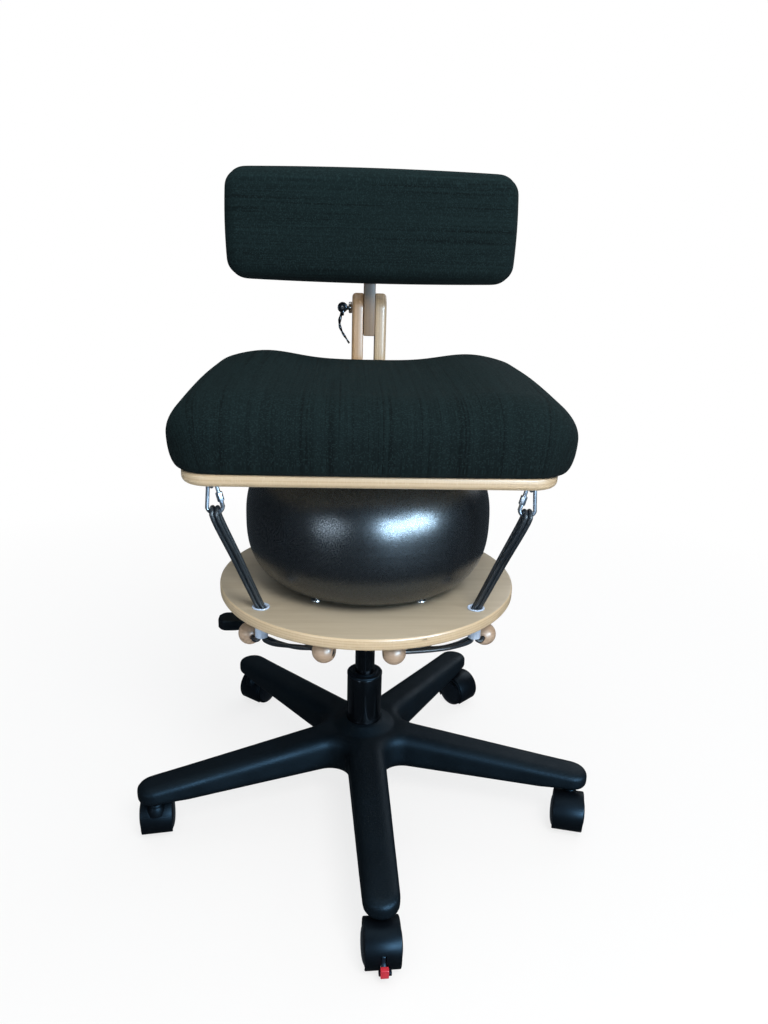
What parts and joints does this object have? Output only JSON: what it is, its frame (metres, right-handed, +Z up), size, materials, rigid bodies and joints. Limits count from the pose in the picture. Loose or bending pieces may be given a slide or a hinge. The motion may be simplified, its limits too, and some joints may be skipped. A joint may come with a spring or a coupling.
{
  "type": "balance ball chair",
  "caption": "Office chair on an air-filled ball held by elastic cords between a plywood disc and seat, with a low backrest and a five-legged rolling base.",
  "frame": {"origin": "middle of the whole chair's box in plan, at floor level under the wheels", "axes": "+Z up, the sitter faces -Y, +X is at the right of someone who looks at the chair from the front"},
  "size_m": [0.6266, 0.6324, 0.883],
  "materials": {
    "nylon": "glass-filled nylon, fine texture",
    "hood_plastic": "satin moulded",
    "wheel_plastic": "glossy domed caps, satin treads",
    "red_plastic": "moulded, red tab",
    "black_enamel": "semi-gloss black enamel",
    "black_plastic": "moulded, satin",
    "steel": "bright",
    "link_steel": "zinc plated",
    "plate_steel": "grey-blue paint",
    "birch": "clear satin lacquer on birch plywood",
    "beech": "turned, satin",
    "white_plastic": "moulded, cool white",
    "ball_skin": "glossy charcoal with fine speckle",
    "elastic": "smooth sheath, slate",
    "fabric": "coarse woven, dark green-black"
  },
  "bodies": {
    "base": {"base_star": "nylon", "outer_tube": "black_enamel", "guide_bush": "black_plastic"},
    "rod": {"piston_rod": "steel"},
    "carrier": {"gas_cylinder": "black_enamel", "mechanism_plate": "plate_steel", "mechanism_socket": "plate_steel", "plate_bolt_1": "steel", "plate_bolt_2": "steel", "plate_bolt_3": "steel", "plate_bolt_4": "steel", "base_disc": "birch", "cord_sleeve_front_left": "white_plastic", "cord_sleeve_front_right": "white_plastic", "cord_sleeve_rear_left": "white_plastic", "cord_sleeve_rear_right": "white_plastic", "outer_bead_front_left": "beech", "outer_bead_front_right": "beech", "outer_bead_rear_left": "beech", "outer_bead_rear_right": "beech", "inner_bead_left": "beech", "inner_bead_right": "beech", "front_cord": "elastic", "rear_cord": "elastic", "tail_cord_left": "elastic", "tail_cord_right": "elastic"},
    "lift_lever": {"lift_lever_rod": "black_enamel", "lift_lever_paddle": "black_plastic"},
    "valve_pin": {"release_pin": "steel"},
    "rocker": {"ball": "ball_skin", "ball_plug": "ball_skin"},
    "seat": {"seat_board": "birch", "seat_cushion": "fabric", "hook_eye_front_left": "link_steel", "hook_eye_front_right": "link_steel", "hook_eye_rear_left": "link_steel", "hook_eye_rear_right": "link_steel", "snap_link_front_left": "link_steel", "snap_link_front_right": "link_steel", "snap_link_rear_left": "link_steel", "snap_link_rear_right": "link_steel", "upright_left": "birch", "upright_right": "birch", "upright_spacer": "birch"},
    "clamp": {"clamp_skewer": "steel"},
    "clamp_lever": {"cam_lever": "black_enamel"},
    "back": {"back_post": "birch", "back_board": "birch", "back_cushion": "fabric"},
    "pedal": {"brake_pedal": "red_plastic"},
    "swivel_front": {"caster_hood_front": "hood_plastic"},
    "wheels_front": {"caster_wheels_front": "wheel_plastic"},
    "swivel_front_right": {"caster_hood_front_right": "hood_plastic"},
    "wheels_front_right": {"caster_wheels_front_right": "wheel_plastic"},
    "swivel_back_right": {"caster_hood_back_right": "hood_plastic"},
    "wheels_back_right": {"caster_wheels_back_right": "wheel_plastic"},
    "swivel_back_left": {"caster_hood_back_left": "hood_plastic"},
    "wheels_back_left": {"caster_wheels_back_left": "wheel_plastic"},
    "swivel_front_left": {"caster_hood_front_left": "hood_plastic"},
    "wheels_front_left": {"caster_wheels_front_left": "wheel_plastic"}
  },
  "joints": [
    {"name": "column_swivel", "type": "hinge", "parent": "base", "child": "rod", "pos_m": [-0.00215, 0.03356, 0.06], "axis": [0, 0, 1], "continuous": true},
    {"name": "height_slide", "type": "slide", "parent": "rod", "child": "carrier", "axis": [0, 0, 1], "range_m": [-0.06, 0.045]},
    {"name": "lift_lever_pull", "type": "hinge", "parent": "carrier", "child": "lift_lever", "pos_m": [-0.03315, 0.03356, 0.321], "axis": [0, 1, 0], "range_deg": [0, 4], "stiffness_Nm_per_rad": 2, "springref_deg": -2.86},
    {"name": "valve_press", "type": "slide", "parent": "carrier", "child": "valve_pin", "axis": [0, 0, 1], "range_m": [-0.0026, 0]},
    {"name": "rock_sideways", "type": "hinge", "parent": "carrier", "child": "rocker", "pos_m": [-0.00215, 0.03356, 0.43475], "axis": [0, 1, 0], "range_deg": [-6, 6], "stiffness_Nm_per_rad": 600, "deforming": ["ball", "front_cord", "rear_cord", "tail_cord_left", "tail_cord_right"]},
    {"name": "rock_forwards", "type": "hinge", "parent": "rocker", "child": "seat", "pos_m": [-0.00215, 0.03356, 0.43475], "axis": [1, 0, 0], "range_deg": [-6, 6], "stiffness_Nm_per_rad": 600},
    {"name": "back_tilt", "type": "hinge", "parent": "seat", "child": "clamp", "pos_m": [0.00035, 0.26806, 0.69], "axis": [1, 0, 0], "range_deg": [-20, 10]},
    {"name": "back_height", "type": "slide", "parent": "clamp", "child": "back", "axis": [0, 0, 1], "range_m": [-0.045, 0.025]},
    {"name": "clamp_lever_swing", "type": "hinge", "parent": "clamp", "child": "clamp_lever", "pos_m": [-0.04045, 0.26806, 0.69], "axis": [0, 1, 0], "range_deg": [0, 150]},
    {"name": "swivel_front_turn", "type": "hinge", "parent": "base", "child": "swivel_front", "pos_m": [0.01213, -0.26911, 0.062], "axis": [0, 0, 1], "continuous": true},
    {"name": "wheels_front_roll", "type": "hinge", "parent": "swivel_front", "child": "wheels_front", "pos_m": [0.01291, -0.28409, 0.02469], "axis": [0.9986, 0.0523, 0], "continuous": true},
    {"name": "swivel_front_right_turn", "type": "hinge", "parent": "base", "child": "swivel_front_right", "pos_m": [0.29011, -0.0464, 0.062], "axis": [0, 0, 1], "continuous": true},
    {"name": "wheels_front_right_roll", "type": "hinge", "parent": "swivel_front_right", "child": "wheels_front_right", "pos_m": [0.28648, -0.06095, 0.02469], "axis": [0.9703, -0.2419, 0], "continuous": true},
    {"name": "swivel_back_right_turn", "type": "hinge", "parent": "base", "child": "swivel_back_right", "pos_m": [0.16421, 0.28681, 0.062], "axis": [0, 0, 1], "continuous": true},
    {"name": "wheels_back_right_roll", "type": "hinge", "parent": "swivel_back_right", "child": "wheels_back_right", "pos_m": [0.17444, 0.27583, 0.02469], "axis": [0.7314, 0.682, 0], "continuous": true},
    {"name": "swivel_back_left_turn", "type": "hinge", "parent": "base", "child": "swivel_back_left", "pos_m": [-0.1916, 0.27003, 0.062], "axis": [0, 0, 1], "continuous": true},
    {"name": "wheels_back_left_roll", "type": "hinge", "parent": "swivel_back_left", "child": "wheels_back_left", "pos_m": [-0.18236, 0.28185, 0.02469], "axis": [-0.788, 0.6157, 0], "continuous": true},
    {"name": "swivel_front_left_turn", "type": "hinge", "parent": "base", "child": "swivel_front_left", "pos_m": [-0.28559, -0.07355, 0.062], "axis": [0, 0, 1], "continuous": true},
    {"name": "wheels_front_left_roll", "type": "hinge", "parent": "swivel_front_left", "child": "wheels_front_left", "pos_m": [-0.28793, -0.05873, 0.02469], "axis": [-0.9877, -0.1564, 0], "continuous": true},
    {"name": "pedal_swing", "type": "hinge", "parent": "swivel_front", "child": "pedal", "pos_m": [0.01379, -0.30096, 0.021], "axis": [-0.9986, -0.0523, 0], "range_deg": [0, 18]}
  ],
  "couplings": [
    {"joint": "valve_press", "follows": "lift_lever_pull", "m_per_rad": -0.036}
  ]
}
